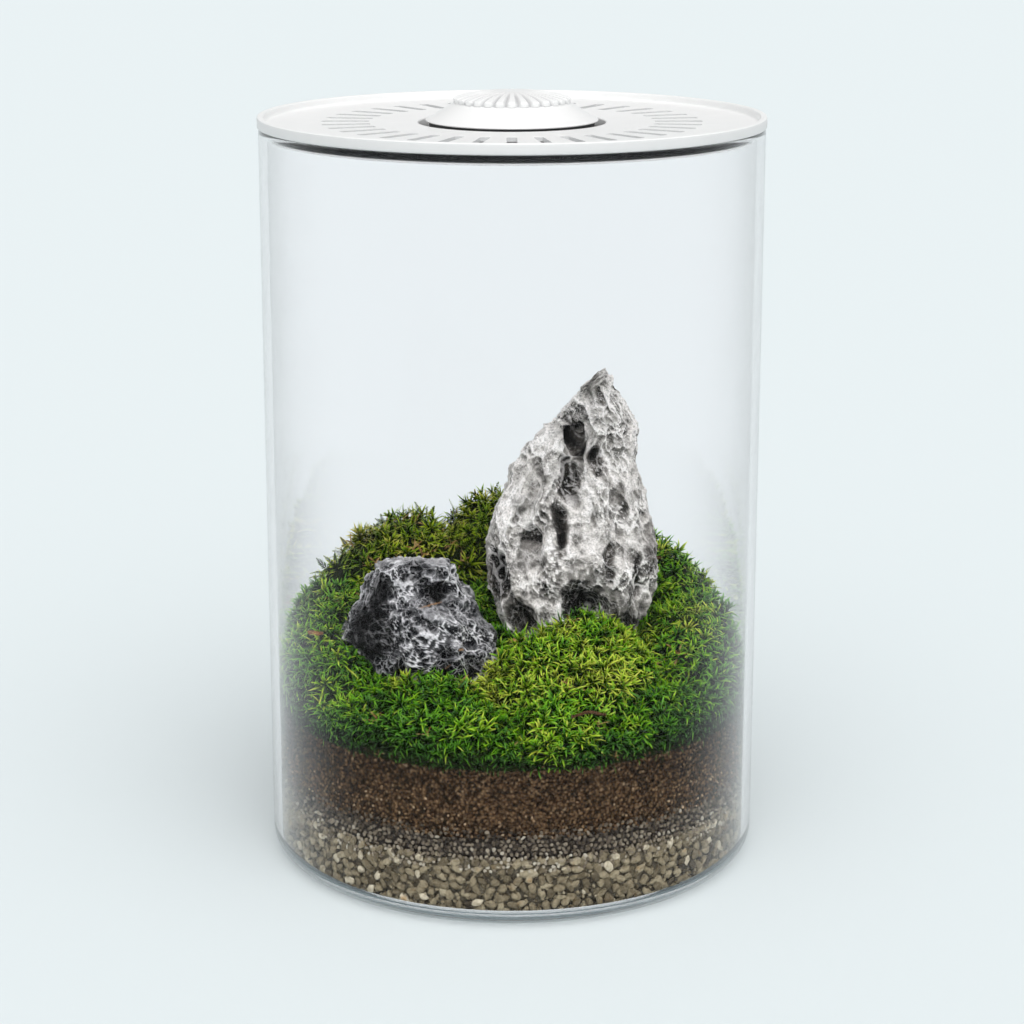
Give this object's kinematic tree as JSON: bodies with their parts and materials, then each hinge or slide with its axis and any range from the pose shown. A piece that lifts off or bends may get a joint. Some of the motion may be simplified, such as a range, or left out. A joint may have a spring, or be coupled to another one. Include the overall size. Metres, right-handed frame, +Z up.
{
  "type": "cylinder terrarium",
  "caption": "Closed glass cylinder planted with cushion moss around two stones over soil, grit and gravel, with a slotted vent lid that a central dial opens.",
  "frame": {"origin": "centre of the jar's flat base, on the surface it stands on", "axes": "+Z up along the jar's axis, -Y towards the front with the low stone on the left and the tall one on the right"},
  "size_m": [0.1506, 0.1506, 0.2335],
  "materials": {
    "clear_glass": "clear and polished",
    "white_lid": "satin moulded white",
    "white_dial": "satin moulded white",
    "white_shutter": "satin moulded white",
    "dark_seal": "soft dark rubber",
    "beige_gravel": "loose light gravel",
    "grey_grit": "loose fine grit",
    "brown_soil": "granular soil",
    "pale_stone": "craggy pale grey limestone",
    "dark_stone": "pitted dark grey limestone",
    "green_moss": "living star-tufted moss",
    "olive_moss": "living feathery moss, partly dry",
    "dry_twig": "dry bark",
    "dry_leaf": "dry leaf"
  },
  "bodies": {
    "jar": {"glass_jar": "clear_glass", "lid_plate": "white_lid", "seal_ring": "dark_seal", "gravel_bed": "beige_gravel", "grit_layer": "grey_grit", "soil_bed": "brown_soil", "rock_tall": "pale_stone", "rock_low": "dark_stone", "moss_front_right": "green_moss", "moss_front_left": "green_moss", "moss_left": "green_moss", "moss_right": "green_moss", "moss_right_front": "green_moss", "moss_back_left": "olive_moss", "moss_back_right": "green_moss", "moss_back": "olive_moss", "moss_middle": "green_moss", "twig_back": "dry_twig", "twig_front": "dry_twig", "leaf_bit_middle": "dry_leaf", "leaf_bit_left": "dry_leaf"},
    "vent": {"vent_dial": "white_dial", "vent_shutter": "white_shutter"}
  },
  "joints": [
    {"name": "vent_turn", "type": "hinge", "parent": "jar", "child": "vent", "pos_m": [0, 0, 0.2204], "axis": [0, 0, 1], "range_deg": [0, 5]}
  ]
}
